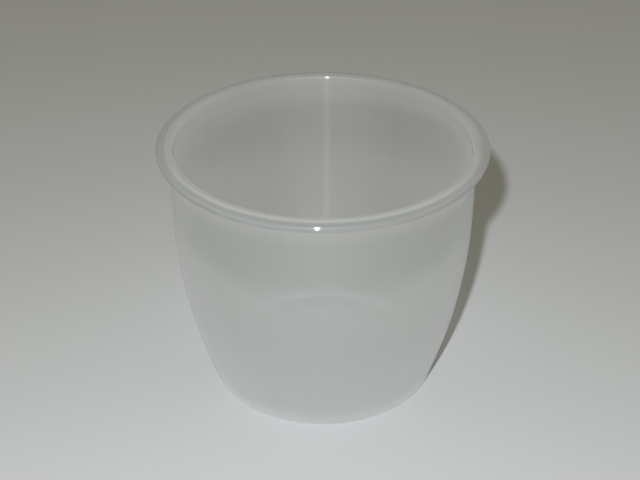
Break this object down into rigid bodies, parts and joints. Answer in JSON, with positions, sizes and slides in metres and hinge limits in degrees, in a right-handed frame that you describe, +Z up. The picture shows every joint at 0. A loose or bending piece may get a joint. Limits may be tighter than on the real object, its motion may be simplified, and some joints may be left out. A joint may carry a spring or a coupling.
{
  "type": "sample cup",
  "caption": "Plain one-piece translucent plastic cup with barrel-curved sides, a flat recessed base and a flared rounded lip, for drawing and looking at a small liquid sample.",
  "frame": {"origin": "centre of the face that the cup stands on", "axes": "+Z up along the cup's axis, towards the mouth; X and Y are equivalent, because the cup is a solid of revolution"},
  "size_m": [0.075, 0.075, 0.0602],
  "materials": {
    "cup_body": "milky translucent natural polypropylene, satin gloss"
  },
  "bodies": {
    "root": {"cup_body": "cup_body"}
  },
  "joints": []
}
